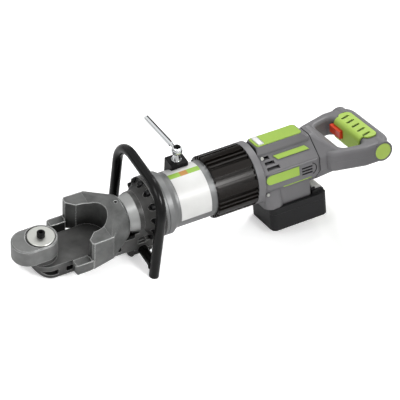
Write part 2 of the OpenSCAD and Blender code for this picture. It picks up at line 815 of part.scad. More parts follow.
module motor_cover() color("gray") turned() difference() {
    union() {
        bar_x_way(cover_x, rib_r + 0.2, 12);
        hull() {
            along_x(cover_x + 11) cylinder(r = rib_r + 0.2, h = 1, $fn = hull_fn * 2);
            along_x(cover_x + 16) linear_extrude(height = 1) cover_outline();
        }
        along_x(cover_x + 16) linear_extrude(height = cover_len - 16) cover_outline();
        side_pod(cover_x + 12, cover_len - 16, (pod_top + pod_bottom) / 2, pod_r, pod_out);
        // Raised top block
        hull() {
            translate([panel_x - 2, -panel_w / 2 - 3, cover_top - 8]) cube([panel_len + 8, panel_w + 6, 6]);
            translate([panel_x, -panel_w / 2, panel_top - 2]) soft_box([panel_len, panel_w, 1], 6);
        }
        // Battery dock with its flared front skirt
        translate([dock_x, -dock_half, dock_bottom]) soft_box([dock_len, 2 * dock_half, 46], 6);
        hull() {
            translate([dock_x - 1, -pack_w / 2 + 1, dock_bottom]) soft_box([34, pack_w - 2, 4], 14, $fn = hull_fn);
            translate([dock_x - 1, -dock_half, dock_bottom + 20]) cube([26, 2 * dock_half, 20]);
        }
        hull() {
            translate([cover_x, -30, -rib_r + 12]) cube([12, 60, 6]);
            translate([dock_x, -dock_half, dock_bottom + 16]) cube([10, 2 * dock_half, 24]);
        }
    }
    cover_screw_places() bar_x_way(cover_x - 1, 1.75, 7);
    // Hollow for the gears and the motor
    bar_x_way(cover_x - 1, cavity_r, cavity_len + 1);
    // Grooves for the battery's rails, open at the back
    translate([rail_x, -rail_half - slide_gap, dock_bottom + 4]) {
        cube([dock_len, 2 * (rail_half + slide_gap), rail_h + slide_gap]);
    }
    translate([rail_x, -rail_neck - slide_gap, dock_bottom - 1]) {
        cube([dock_len, 2 * (rail_neck + slide_gap), 8]);
    }
    // Room for the control board above the rails
    translate([board_x - 1, -board_half - 1, dock_bottom + 10]) {
        cube([board_len + 2, 2 * board_half + 2, 8]);
    }
    // Vents over the gears, and lower ones beside the motor
    for (i = [0 : 2]) {
        vent(cover_x + 24, pod_top + 2 + vent_pitch * i, vent_len - vent_len / 4 * i, vent_tall);
        vent(cover_x + 81, pod_bottom + 7.5 + low_vent_pitch * i, vent_len - 3, low_vent_tall);
    }
    // Round grooves that close the pods behind the lower vents
    both_sides() translate([cover_x + 97, 0, (pod_top + pod_bottom) / 2]) rotate([-90, 0, 0]) {
        translate([0, 0, cover_side + pod_out - 1.5]) intersection() {
            difference() {
                cylinder(r = pod_r - 3, h = 5);
                translate([0, 0, -1]) cylinder(r = pod_r - 4.6, h = 7);
            }
            translate([3, -pod_r, -1]) cube([pod_r, 2 * pod_r, 7]);
        }
    }
    // Seat for the top panel
    translate([panel_x + 2, -panel_w / 2 + 2, panel_top - 2]) soft_box([panel_len - 4, panel_w - 4, 3], 5);
}

// Four lands of the ribbed housing carry the cover's screws
module cover_screw_places() {
    low = floor((land_count - 1) / 2);
    for (i = [1, low, land_count - low, land_count - 1]) {
        rotate([i * 360 / land_count, 0, 0]) translate([0, 0, rib_r - 3.8]) children();
    }
}

module cover_screws() color("black") turned() cover_screw_places() {
    bar_x_way(cover_x - 12, 1.75, 18);
}

module top_panel() color("yellowgreen") turned() {
    translate([panel_x + 2.1, -panel_w / 2 + 2.1, panel_top - 2]) {
        soft_box([panel_len - 4.2, panel_w - 4.2, 2.2], 4.9);
    }
}

module side_badges() color("yellowgreen") turned() {
    badge_x = cover_x + 16.5;
    badge_z = pod_top - 10.5;
    face_y = cover_side + pod_out;
    both_sides() translate([badge_x, face_y, badge_z]) {
        rotate([-90, 0, 0]) {
            translate([8, 0, 0]) cylinder(r = 8, h = 0.8);
            translate([8, -8, 0]) cube([badge_len - 8, 16, 0.8]);
        }
    }
}

// Slim strips on the cover's sloped shoulders, above the pods
module side_strips() color("yellowgreen") turned() {
    both_sides() rotate([-shoulder_tilt, 0, 0]) translate([cover_x + 42, 0, shoulder_out]) {
        linear_extrude(height = 1.2) polygon([[0, -3.5], [6, 4.5], [strip_len, 4.5], [strip_len - 6, -3.5]]);
    }
}

// Seen from above, the D of the handle without its rounded edge
module handle_plan() {
    difference() {
        hull() {
            for (side = [-1, 1]) {
                translate([rear_x - 26, side * (handle_w / 2 - 26)]) circle(r = 26 - edge_r, $fn = hull_fn);
                translate([grip_x - 4, side * (handle_w / 2 - 20)]) circle(r = 20 - edge_r, $fn = hull_fn);
                translate([opening_x - 11, side * neck_half]) circle(r = 12, $fn = hull_fn);
            }
        }
        hull() {
            for (side = [-1, 1]) {
                translate([opening_x + 12, side * (opening_w / 2 - 16)]) {
                    circle(r = 12 + edge_r, $fn = hull_fn);
                }
                translate([grip_x - 9, side * (opening_w / 2 - 9)]) circle(r = 9 + edge_r, $fn = hull_fn);
            }
        }
    }
}

module handle_body() difference() {
    union() {
        minkowski() {
            translate([0, 0, edge_r - half_grip]) {
                linear_extrude(height = handle_t - 2 * edge_r) handle_plan();
            }
            sphere(r = edge_r, $fn = 16);
        }
        // The neck swells from the flat D into the cover's outline, behind a narrow seam
        along_x(handle_x) linear_extrude(height = 3) cover_outline(seam);
        hull() {
            along_x(handle_x + seam) linear_extrude(height = 7) cover_outline();
            translate([opening_x - 8, -opening_w / 2, -half_grip + 2]) {
                cube([4, opening_w, handle_t - 4]);
            }
        }
        both_sides() translate([cap_x, handle_w / 2 - 20, cap_z]) rotate([-90, 0, 0]) {
            cylinder(r = half_grip - 0.5, h = 20);
        }
    }
    // Seats for the round end caps
    both_sides() translate([cap_x, handle_w / 2 - 2.5, cap_z]) rotate([-90, 0, 0]) {
        cylinder(r = cap_r + 0.1, h = 4);
    }
    // Room for the switch, and the trigger's window
    translate([grip_x + 7, trigger_y0 - 5, trigger_z0 - 4]) {
        cube([switch_x + switch_len - grip_x - 7, trigger_y1 - trigger_y0 + 10, trigger_z1 - trigger_z0 + 8]);
    }
    translate([grip_x - 5, trigger_y0 - slide_gap, trigger_z0 - slide_gap]) {
        cube([13, trigger_y1 - trigger_y0 + 2 * slide_gap, trigger_z1 - trigger_z0 + 2 * slide_gap]);
    }
    // Clear of the motor's shaft
    bar_x_way(handle_x - 1, 14, 8);
}

module handle_upper() color("gray") turned() intersection() {
    handle_body();
    translate([handle_x - 1, -handle_w, 0]) cube([handle_len + 10, 2 * handle_w, 60]);
}

module handle_lower() color("gray") turned() intersection() {
    handle_body();
    translate([handle_x - 1, -handle_w, -60]) cube([handle_len + 10, 2 * handle_w, 60]);
}

// A bar across the handle with rounded front and rear edges
module grip_block(x, depth, half, tall, r) {
    translate([x, half, -tall / 2]) rotate([90, 0, 0]) soft_box([depth, tall, 2 * half], r);
}

// Soft sleeve over the top, front and underside of the grip, slotted above and below
module grip_sleeve() color("yellowgreen") turned() {
    sleeve_half = opening_w / 2 - 4;
    front_half = opening_w / 2 - 11;
    sleeve_depth = grip_depth * 0.7;
    slot_len = sleeve_depth * 0.42;
    slot_r = 2.3;
    difference() {
        intersection() {
            grip_block(grip_x - pad_t, grip_depth, sleeve_half, handle_t + 2 * pad_t, edge_r + pad_t);
            union() {
                translate([grip_x - pad_t - 1, -front_half, -handle_t]) {
                    cube([sleeve_depth + pad_t + 1, 2 * front_half, 2 * handle_t]);
                }
                translate([grip_x + edge_r, -sleeve_half, -handle_t]) {
                    soft_box([sleeve_depth - edge_r, 2 * sleeve_half, 2 * handle_t], 9);
                }
            }
        }
        grip_block(grip_x, grip_depth + 20, sleeve_half + 1, handle_t, edge_r);
        for (i = [-2 : 2]) {
            translate([grip_x + 9, sleeve_half * 0.36 * i - 3, -handle_t]) rotate([0, 0, 16]) {
                linear_extrude(height = 2 * handle_t) stadium(slot_len, slot_r);
            }
        }
        translate([grip_x - 10, trigger_y0 - 1, trigger_z0 - 1]) {
            cube([20, trigger_y1 - trigger_y0 + 2, trigger_z1 - trigger_z0 + 2]);
        }
    }
}

module handle_caps() color("yellowgreen") turned() {
    both_sides() translate([cap_x, handle_w / 2 - 2.5, cap_z]) rotate([-90, 0, 0]) {
        cylinder(r = cap_r, h = 2.5);
        translate([0, 0, 2.5]) cylinder(r1 = cap_r, r2 = cap_r - 1, h = 0.8);
    }
}

module trigger() color("orangered") turned() {
    len = trigger_y1 - trigger_y0;
    tall = trigger_z1 - trigger_z0;
    hollow_r = 31.5;
    translate([grip_x - trigger_out, trigger_y0, trigger_z0]) difference() {
        rotate([-90, 0, 0]) translate([0, -tall, 0]) {
            soft_box([trigger_out + trigger_in, tall, len], 3);
        }
        // Finger hollow in the front
        translate([1.5 - hollow_r, -1, tall / 2]) rotate([-90, 0, 0]) {
            cylinder(r = hollow_r, h = len + 2);
        }
    }
    // Wings that hold it in its window
    translate([grip_x + 7 + slide_gap, trigger_y0 - 3, trigger_z0 + 2]) cube([2.5, len + 6, tall - 4]);
}

module trigger_switch() color("black") turned() {
    translate([switch_x, trigger_y0 + 2, trigger_z0 - 2]) {
        cube([switch_len, trigger_y1 - trigger_y0 - 4, trigger_z1 - trigger_z0 + 2]);
    }
}

module control_board() color("darkgreen") turned() {
    translate([board_x, -board_half, dock_bottom + 10]) cube([board_len, 2 * board_half, 1.6]);
    for (i = [0 : 2]) {
        translate([board_x + board_len * (0.1 + 0.26 * i), -8, dock_bottom + 11.6]) cube([10, 14, 3.5]);
    }
}

module dock_terminals() color("gold") turned() {
    for (y = [-13, -5, 5, 13]) {
        translate([rail_x, y - 0.5, dock_bottom + 3.4]) cube([10, 1, 4]);
    }
}

// The pack's plan, drawn in by an inset, with rounder corners at the front
module pack_plan(inset) {
    half = pack_w / 2 - inset;
    x1 = pack_x + pack_front_r;
    x2 = pack_x + pack_len - pack_rear_r;
    for (side = [-1, 1]) {
        translate([x1, side * (pack_w / 2 - pack_front_r)]) circle(r = pack_front_r - inset);
        translate([x2, side * (pack_w / 2 - pack_rear_r)]) circle(r = pack_rear_r - inset);
    }
    translate([x1, -half]) square([x2 - x1, 2 * half]);
    translate([pack_x + inset, pack_front_r - pack_w / 2]) {
        square([pack_front_r, pack_w - 2 * pack_front_r]);
    }
    translate([x2 - eps, pack_rear_r - pack_w / 2]) {
        square([pack_rear_r - inset + eps, pack_w - 2 * pack_rear_r]);
    }
}

// The pack's outer form between two heights
module pack_block(z0, z1, inset = 0) {
    translate([0, 0, z0]) linear_extrude(height = z1 - z0) pack_plan(inset);
}

// The hollow for the cells
module cell_room() intersection() {
    pack_block(cell_floor, pack_top - pack_wall, pack_wall);
    translate([pack_x, -pack_w, pack_bottom]) cube([pack_len - 2 * pack_wall, 2 * pack_w, pack_h]);
}

module battery_lower_case() color([0.2, 0.2, 0.21]) turned() difference() {
    union() {
        pack_block(pack_bottom + 2, pack_mid);
        pack_block(pack_bottom, pack_bottom + 2, 2);
    }
    cell_room();
}

module battery_upper_case() color([0.24, 0.24, 0.25]) turned() difference() {
    union() {
        pack_block(pack_mid, pack_top);
        // Neck and rails that slide in the dock
        translate([rail_x + 11, -rail_neck, pack_top - 1]) cube([dock_len - 14, 2 * rail_neck, 6]);
        translate([rail_x + 11, -rail_half, dock_bottom + 4 + slide_gap]) {
            cube([dock_len - 14, 2 * rail_half, rail_h - slide_gap]);
        }
        // Shoulder around the latch
        translate([latch_x - 1.5, -latch_half - 6, pack_top - 1]) {
            cube([latch_len + 3, 2 * latch_half + 12, 5]);
        }
    }
    cell_room();
    translate([latch_x - slide_gap, -latch_half - slide_gap, latch_z - latch_travel - slide_gap]) {
        cube([latch_len + 2 * slide_gap, 2 * (latch_half + slide_gap), 20]);
    }
}

module battery_cells() color("steelblue") turned() {
    for (i = [0 : cell_count - 1], j = [0, 1]) {
        translate([cell_x + cell_pitch * i, -cell_len / 2, cell_floor + cell_r + cell_pitch * j]) {
            rotate([-90, 0, 0]) cylinder(r = cell_r, h = cell_len);
        }
    }
}

module battery_contacts() color("gold") turned() {
    for (y = [-13, -5, 5, 13]) {
        translate([rail_x + 10.5, y - 0.5, dock_bottom + 3.4]) cube([0.5, 1, 4]);
    }
}

// Sloped release button across the back of the pack's top
module battery_latch() color("lightgray") turned() {
    rise = 8;
    translate([latch_x, latch_half, latch_z]) rotate([90, 0, 0]) linear_extrude(height = 2 * latch_half) {
        polygon([[0, 0], [latch_len, 0], [latch_len, rise * 0.45], [3, rise], [0, rise]]);
    }
}

frame_casting();
die_block();
die_disc();
die_screw();
fork();
fork_grub_screw();
piston_rod();
piston();
piston_seals();
gland_nose();
rod_wiper();
flange_screws();
cylinder_body();
stand_loop();
loop_clamp();
loop_clamp_screws();
valve_block();
valve_spindle();
lever_ball();
lever_rod();
ribbed_housing();
pump_body();
oil_bladder();
pump_cap();
pump_shaft();
shaft_bearings();
gear_case();
motor_can();
motor_rotor();
rotor_bearings();
cooling_fan();
motor_cover();
cover_screws();
top_panel();
side_badges();
side_strips();
handle_upper();
handle_lower();
grip_sleeve();
handle_caps();
trigger();
trigger_switch();
control_board();
dock_terminals();
battery_lower_case();
battery_upper_case();
battery_cells();
battery_contacts();
battery_latch();
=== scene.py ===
# %% [markdown]
# # A cordless hydraulic rebar bender
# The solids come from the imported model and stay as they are. This script gives them their finishes,
# adds the trim that is easier to model than to machine, and sets up light, floor and camera.

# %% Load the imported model
import json
from math import atan2, cos, pi, radians, sin

import bpy
from mathutils import Matrix, Vector


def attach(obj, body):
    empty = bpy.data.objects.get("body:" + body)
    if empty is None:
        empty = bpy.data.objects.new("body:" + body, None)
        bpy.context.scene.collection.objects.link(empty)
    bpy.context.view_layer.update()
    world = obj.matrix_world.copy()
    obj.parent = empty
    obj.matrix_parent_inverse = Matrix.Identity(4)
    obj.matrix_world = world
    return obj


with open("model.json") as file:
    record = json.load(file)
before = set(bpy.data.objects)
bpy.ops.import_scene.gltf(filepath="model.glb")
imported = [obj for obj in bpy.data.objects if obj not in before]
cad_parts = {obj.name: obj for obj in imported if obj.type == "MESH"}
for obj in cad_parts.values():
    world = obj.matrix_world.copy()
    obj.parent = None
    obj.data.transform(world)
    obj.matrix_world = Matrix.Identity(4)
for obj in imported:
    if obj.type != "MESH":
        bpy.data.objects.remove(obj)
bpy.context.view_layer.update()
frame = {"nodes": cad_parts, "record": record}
print("packed nodes:", len(frame["nodes"]))

# %% [markdown]
# The main sizes below repeat the real ones in millimetres. The tool's long axis is X and the die
# stands on Z. The motor and handle are turned 15 degrees about X, so trim for them is modelled
# upright first and then turned in the same way. A screw's place is its length along X and its angle
# from the top.

# %% Sizes that the trim is placed by
MM = 0.001
TURN = radians(-15)
SLEEVE_R = 45.5
POD_Y, POD_BOTTOM = 46, -16
PANEL_X0, PANEL_TOP = 373, 50.2
COVER_SCREWS = ((376, -22), (376, 52), (378, -120), (378, 150))
LOOP_LEAN = radians(3.9)
LOOP_X, BAR_R, BAR_DROP, LEG_Y = 162.9, 8, 54, 73.8

# %% [markdown]
# A material is a small graph of nodes. One function adds any node, sets its values and links its
# inputs, so each finish further down reads as a short list. Colours are written as the hex values
# that a designer would pick, and one function turns them to the linear numbers a renderer needs.

# %% One function for nodes and one for colours
def linear(hex_colour):
    values = [int(hex_colour[i : i + 2], 16) / 255 for i in (1, 3, 5)]
    return tuple(v / 12.92 if v <= 0.04045 else ((v + 0.055) / 1.055) ** 2.4 for v in values) + (1,)


def put(tree, kind, inputs=None, **settings):
    node = tree.nodes.new("ShaderNode" + kind)
    for name, value in settings.items():
        setattr(node, name, value)
    for name, value in (inputs or {}).items():
        socket = node.inputs[name]
        if isinstance(value, bpy.types.NodeSocket):
            tree.links.new(value, socket)
        elif isinstance(value, str):
            socket.default_value = linear(value)
        else:
            socket.default_value = value
    return node


def start(name, **shader):
    material = bpy.data.materials.new(name)
    material.use_nodes = True
    tree = material.node_tree
    principled = tree.nodes["Principled BSDF"]
    for socket, value in shader.items():
        value = linear(value) if isinstance(value, str) else value
        principled.inputs[socket.replace("_", " ")].default_value = value
    place = put(tree, "TexCoord").outputs["Object"]
    return material, tree, principled, place


print("white is", linear("#ffffff"))

# %% [markdown]
# Hardly any edge on a real tool is sharp. The Bevel node bends the normals next to an edge as a
# small radius would, without a face more. Set against the plain normal it also finds the edges,
# which are painted pale: partly the wear where paint goes first, partly a painted highlight of the
# rounded edge. The Ambient Occlusion node finds the opposite, the hollows, which get painted shade.
# Every finish below starts from these helpers.

# %% Rounded edges, fine relief, worn edges with painted highlight, painted shade in hollows
EDGE_MM = 0.8


def relief(tree, principled, height, depth_mm, edge_mm=EDGE_MM):
    rounded = put(tree, "Bevel", {"Radius": edge_mm * MM}, samples=6).outputs["Normal"]
    bump = put(tree, "Bump", {"Strength": 1.0, "Distance": depth_mm * MM, "Height": height, "Normal": rounded})
    tree.links.new(bump.outputs["Normal"], principled.inputs["Normal"])


# pale edges: partly wear, partly painted highlight of the rounded edge
def worn_lit_edge_mask(tree, place, reach_mm, low, high):
    rounded = put(tree, "Bevel", {"Radius": reach_mm * MM}, samples=6).outputs["Normal"]
    flat = put(tree, "NewGeometry").outputs["Normal"]
    facing = put(tree, "VectorMath", {0: rounded, 1: flat}, operation="DOT_PRODUCT").outputs["Value"]
    patchy = put(tree, "TexNoise", {"Vector": place, "Scale": 180.0, "Detail": 3.0}).outputs["Fac"]
    offset = put(tree, "MapRange", {"Value": patchy, "From Min": 0.3, "From Max": 0.7,
                                    "To Min": -0.012, "To Max": 0.03})
    shifted = put(tree, "Math", {0: facing, 1: offset.outputs["Result"]}, operation="ADD")
    worn_lit_edge = put(tree, "MapRange", {"Value": shifted.outputs["Value"], "From Min": high, "From Max": low})
    return worn_lit_edge.outputs["Result"]


def painted_shade_mask(tree, reach_mm, amount, full_at=0.45):
    """Finds hollows and joints, where less light comes in, as a mask for painted shade."""
    # painted shade: the more a point is closed in, the darker its colour is painted
    open_sky = put(tree, "AmbientOcclusion", {"Distance": reach_mm * MM}, samples=8).outputs["AO"]
    hollow = put(tree, "MapRange", {"Value": open_sky, "From Min": 0.97, "From Max": full_at, "To Max": amount})
    return hollow.outputs["Result"]


def shade_spread(tree, place, scale, dark, pale):
    cloud = put(tree, "TexNoise", {"Vector": place, "Scale": scale, "Detail": 4.0, "Roughness": 0.6})
    ramp = put(tree, "ValToRGB", {"Fac": cloud.outputs["Fac"]})
    ramp.color_ramp.elements[0].position, ramp.color_ramp.elements[1].position = 0.3, 0.7
    ramp.color_ramp.elements[0].color, ramp.color_ramp.elements[1].color = linear(dark), linear(pale)
    return ramp.outputs["Color"]


def blend_colour(tree, factor, below, above):
    mix = put(tree, "Mix", {"Factor": factor, "A": below, "B": above}, data_type="RGBA")
    return mix.outputs["Result"]


print("usual bevel radius in mm:", EDGE_MM)

# %% [markdown]
# Enamel on cast iron keeps the grain of the sand mould, here about 2.5 mm from peak to peak, under
# a smooth paint skin. The paint is a grey with metal flake in it, so it is partly metallic. Its edges
# are painted pale, partly wear where bars knock against it and partly painted highlight, and its
# hollows get painted shade. Towards the bolted flange the frame is painted darker along X, partly
# oil that creeps out of the joint and partly painted shade between the screws.

# %% Painted castings and forgings
PAINTED_HOLLOW_SHADE_IRON, FLANGE_OIL_AND_SHADE, FLANGE_OIL_AND_SHADE_MM = "#121211", "#1a1917", (147, 168)
SAND_GRAIN_MM, BLOTCH_MM = 2.5, 8


def painted_iron(name, dark, pale, worn_lit_edge, metallic, roughness, worn_lit_reach_mm, shade_reach_mm, shade_amount, full_at=0.45, oil_and_shade_span=None):
    material, tree, principled, place = start(name, Metallic=metallic, Roughness=roughness)
    body = shade_spread(tree, place, 45.0, dark, pale)
    # painted shade: hollows are darkened in the base colour
    oil_and_painted_shade = blend_colour(tree, painted_shade_mask(tree, shade_reach_mm, shade_amount, full_at), body, PAINTED_HOLLOW_SHADE_IRON)
    # oil stain and painted shade: darker towards the flange along X, with a blotchy front
    if oil_and_shade_span:
        blotch = put(tree, "TexNoise", {"Vector": place, "Scale": 90.0, "Detail": 3.0}).outputs["Fac"]
        shift = put(tree, "MapRange", {"Value": blotch, "To Min": -BLOTCH_MM * MM,
                                       "To Max": BLOTCH_MM * MM}).outputs["Result"]
        along = put(tree, "SeparateXYZ", {"Vector": place}).outputs["X"]
        uneven = put(tree, "Math", {0: along, 1: shift}, operation="ADD").outputs["Value"]
        film = put(tree, "MapRange", {"Value": uneven, "From Min": oil_and_shade_span[0] * MM,
                                      "From Max": oil_and_shade_span[1] * MM, "To Max": 0.9})
        oil_and_painted_shade = blend_colour(tree, film.outputs["Result"], oil_and_painted_shade, FLANGE_OIL_AND_SHADE)
    # edges painted pale: partly wear, partly painted highlight
    edges = worn_lit_edge_mask(tree, place, worn_lit_reach_mm, low=0.91, high=0.98)
    tree.links.new(blend_colour(tree, edges, oil_and_painted_shade, worn_lit_edge), principled.inputs["Base Color"])
    sand = 1 / (SAND_GRAIN_MM * MM)
    grain = put(tree, "TexNoise", {"Vector": place, "Scale": sand, "Detail": 3.0}).outputs["Fac"]
    relief(tree, principled, grain, 0.10, edge_mm=1.6)
    return material


finish = {
    "cast_paint": painted_iron("enamel_on_cast_iron", "#484847", "#5f5f5e", "#8d8d8c",
                               0.25, 0.42, 1.8, 26.0, 0.85, oil_and_shade_span=FLANGE_OIL_AND_SHADE_MM),
    "cast_grey": painted_iron("enamel_on_forged_die", "#686968", "#7d7e7d", "#bfc0bf",
                              0.25, 0.4, 2.2, 20.0, 0.6),
    "forged_dark": painted_iron("enamel_on_forged_fork", "#515251", "#6b6c6b", "#b6b7b6",
                                0.4, 0.36, 3.4, 36.0, 0.9, full_at=0.62),
}
print("castings:", sorted(finish))

# %% [markdown]
# Satin paint on a turned cylinder is smoother than on a casting: what shows is the orange peel of
# the spray, a soft wave of about 4 mm. Powder coat on the bent bar is a glossy black with the same
# kind of wave at 1.5 mm. Only the cylinder gets a thin clear coat on top, as the powder's own skin
# is the gloss of the bar.

# %% Sprayed and powder coated finishes
def sprayed(name, dark, pale, metallic, roughness, coat, wave_mm, depth_mm, shine=0.5):
    material, tree, principled, place = start(name, Metallic=metallic, Roughness=roughness, Coat_Weight=coat,
                                              Coat_Roughness=0.2, Specular_IOR_Level=shine)
    tree.links.new(shade_spread(tree, place, 18.0, dark, pale), principled.inputs["Base Color"])
    wave = put(tree, "TexNoise", {"Vector": place, "Scale": 1 / (wave_mm * MM), "Detail": 1.0}).outputs["Fac"]
    relief(tree, principled, wave, depth_mm)
    return material


finish["cylinder_paint"] = sprayed("satin_paint_on_steel", "#6b6c6c", "#797a7a", 0.45, 0.47, 0.05, 4.0, 0.03)
finish["loop_black"] = sprayed("black_powder_coat", "#040404", "#080808", 0.0, 0.25, 0.0, 1.5, 0.02, shine=0.2)
finish["black_oxide"] = sprayed("black_oxide_steel", "#070708", "#0e0e0f",
                                0.0, 0.42, 0.0, 1.0, 0.02, shine=0.12)
finish["inner_black"] = sprayed("black_nylon", "#191919", "#222222", 0.0, 0.6, 0.0, 1.0, 0.02)
print("sprayed finishes:", len(finish))

# %% [markdown]
# Bare metals get their colour from reflection, so each has metallic 1 and a roughness for how it was
# worked: chrome is polished, a ground rod nearly so, a turned ring shows fine rings around its axis.
# The rings come from noise that is stretched flat in two directions and runs fast along the third.

# %% Bare metals
def bare_metal(name, colour, roughness, lines_mm, along, depth_mm):
    material, tree, principled, place = start(name, Base_Color=colour, Metallic=1.0, Roughness=roughness)
    fine, flat = 1 / (lines_mm * MM), 12.0
    stretch = {"X": (fine, flat, flat), "Y": (flat, fine, flat), None: (fine, fine, fine)}
    stretched = put(tree, "Mapping", {"Vector": place, "Scale": stretch[along]}).outputs["Vector"]
    lines = put(tree, "TexNoise", {"Vector": stretched, "Scale": 1.0, "Detail": 4.0}).outputs["Fac"]
    spread = put(tree, "MapRange", {"Value": lines, "To Min": roughness * 0.7, "To Max": roughness * 1.4})
    tree.links.new(spread.outputs["Result"], principled.inputs["Roughness"])
    relief(tree, principled, lines, depth_mm, edge_mm=0.4)
    return material


finish["chrome"] = bare_metal("chrome_plate", "#dcdedf", 0.06, 6.0, None, 0.01)
finish["zinc"] = bare_metal("zinc_plated_steel", "#bfc0bb", 0.38, 1.2, None, 0.02)
finish["ground_steel"] = bare_metal("ground_steel", "#c2c4c6", 0.18, 0.5, "X", 0.004)
finish["machined_steel"] = bare_metal("turned_steel", "#a0a1a0", 0.32, 0.7, "X", 0.03)
finish["bearing_steel"] = bare_metal("bearing_steel", "#b8bbbd", 0.2, 0.6, "X", 0.004)
finish["motor_steel"] = bare_metal("blackened_can", "#3c3d3e", 0.4, 1.0, None, 0.01)
finish["alu_raw"] = bare_metal("machined_aluminium", "#b6b8ba", 0.3, 0.8, "X", 0.01)
finish["copper_winding"] = bare_metal("enamelled_copper", "#b0693a", 0.35, 0.9, "Y", 0.08)
finish["contact_brass"] = bare_metal("spring_brass", "#c8a14c", 0.25, 1.0, None, 0.005)
print("metals:", sum("steel" in m.name or "alu" in m.name for m in finish.values()))

# %% [markdown]
# The ribbed housing is an aluminium extrusion with a black anodised skin. Anodising leaves the metal's
# own sheen, slightly brown, and the die marks of the extrusion run along X as fine lines.

# %% Anodised extrusion
DIE_MARKS = 900.0
material, tree, principled, place = start("black_anodised_aluminium", Metallic=0.2, Roughness=0.25,
                                          Specular_IOR_Level=0.3)
along = put(tree, "Mapping", {"Vector": place, "Scale": (8.0, DIE_MARKS, DIE_MARKS)}).outputs["Vector"]
marks = put(tree, "TexNoise", {"Vector": along, "Scale": 1.0, "Detail": 3.0}).outputs["Fac"]
tone = put(tree, "ValToRGB", {"Fac": marks})
tone.color_ramp.elements[0].color, tone.color_ramp.elements[1].color = linear("#0b0908"), linear("#1d1814")
tree.links.new(tone.outputs["Color"], principled.inputs["Base Color"])
relief(tree, principled, marks, 0.02, edge_mm=0.5)
finish["anodised_black"] = material
print("extrusion lines per metre:", DIE_MARKS)

# %% [markdown]
# Tool plastics are glass filled nylon, moulded in a mould whose walls were spark eroded. That leaves
# a fine even grain, about 0.7 mm here, coarser than the real one so that it shows. Soft grips have
# a wider grain and a duller skin, and bright parts such as the trigger are almost smooth. The vents
# and seams of the large covers use the hollows helper too, for painted shade in them.

# %% Moulded plastics and rubber
# colour of the painted shade in the hollows of moulded covers
PAINTED_HOLLOW_SHADE_PLASTIC = "#141414"


def moulded(name, dark, pale, roughness, grain_mm, depth_mm, edge_mm=1.0, shine=0.5, hollow_shade_mm=None):
    material, tree, principled, place = start(name, Roughness=roughness, IOR=1.5, Specular_IOR_Level=shine)
    skin = shade_spread(tree, place, 14.0, dark, pale)
    if hollow_shade_mm:
        # painted shade: vents and seams are darkened in the base colour
        skin = blend_colour(tree, painted_shade_mask(tree, hollow_shade_mm, 0.9, full_at=0.5), skin, PAINTED_HOLLOW_SHADE_PLASTIC)
    tree.links.new(skin, principled.inputs["Base Color"])
    grain = put(tree, "TexVoronoi", {"Vector": place, "Scale": 1 / (grain_mm * MM)}).outputs["Distance"]
    relief(tree, principled, grain, depth_mm, edge_mm)
    return material


finish["cover_grey"] = moulded("glass_filled_nylon", "#6a696b", "#737274", 0.5, 0.7, 0.02, 1.6, hollow_shade_mm=5.0)
finish["lime"] = moulded("lime_moulded_plastic", "#9abb4c", "#a3c355", 0.38, 0.9, 0.01)
finish["lime_soft"] = moulded("lime_elastomer", "#a6c650", "#b0cf5a", 0.55, 1.0, 0.03, 1.4)
finish["trigger_red"] = moulded("red_acetal", "#d63a1b", "#e24420", 0.3, 1.2, 0.01, 1.6)
finish["battery_black"] = moulded("charcoal_nylon", "#101011", "#18181a", 0.5, 0.7, 0.03, 1.8, shine=0.3)
finish["latch_grey"] = moulded("pale_grey_acetal", "#cbccc9", "#d6d6d3", 0.42, 1.0, 0.01)
finish["seal_rubber"] = moulded("nitrile_rubber", "#151515", "#1c1c1c", 0.75, 0.8, 0.02)
finish["board_green"] = moulded("lacquered_board", "#1a5232", "#20613c", 0.3, 1.5, 0.01)
finish["cell_wrap"] = moulded("heat_shrink_sleeve", "#35669b", "#3f74ad", 0.3, 2.0, 0.01)
print("finishes in all:", len(finish))

# %% [markdown]
# Each imported node names the material slot that its record gives, so one loop dresses them all. The
# caps on the handle's corners get a paler lime than the panels, a painted lighter tone for the light
# they catch, so they get their own.

# %% Dress the imported nodes
slots = {part["node"]: part["material_slot"] for part in frame["record"]["subparts"]}
for node, thing in frame["nodes"].items():
    thing.data.materials.clear()
    thing.data.materials.append(finish[slots[node]])
# painted light: a lighter copy of the lime for the caps
lit_lime = moulded("pale_lime_plastic", "#b8d65e", "#c2df68", 0.38, 0.9, 0.01)
frame["nodes"]["handle_caps"].data.materials[0] = lit_lime
print("dressed nodes:", len(slots))

# %% [markdown]
# New pieces start as a primitive, get their shape in edit mode and are finished by modifiers. These
# helpers do what every piece needs: nothing else selected at the start, the piece's place put into
# its mesh at the end, and a body to ride on.

# %% Helpers for modelled pieces
def clear_selection():
    if bpy.context.mode != "OBJECT":
        bpy.ops.object.mode_set(mode="OBJECT")
    bpy.ops.object.select_all(action="DESELECT")


def only(thing):
    clear_selection()
    thing.select_set(True)
    bpy.context.view_layer.objects.active = thing


def pick(thing, test):
    """Selects the faces whose centre and normal pass the test, and leaves edit mode on."""
    only(thing)
    bpy.ops.object.mode_set(mode="EDIT")
    bpy.ops.mesh.select_all(action="DESELECT")
    bpy.ops.object.mode_set(mode="OBJECT")
    for face in thing.data.polygons:
        face.select = test(face.center, face.normal)
    bpy.ops.object.mode_set(mode="EDIT")
    bpy.ops.mesh.select_mode(type="FACE")


def soften(thing, width_mm, angle=40):
    only(thing)
    bevel = thing.modifiers.new("soft_edges", "BEVEL")
    bevel.width, bevel.segments = width_mm * MM, 2
    bevel.limit_method, bevel.angle_limit = "ANGLE", radians(angle)
    bpy.ops.object.modifier_apply(modifier=bevel.name)
    bpy.ops.object.shade_smooth_by_angle(angle=radians(35))


def place_in_mesh(thing):
    only(thing)
    bpy.ops.object.transform_apply(location=True, rotation=True, scale=True)


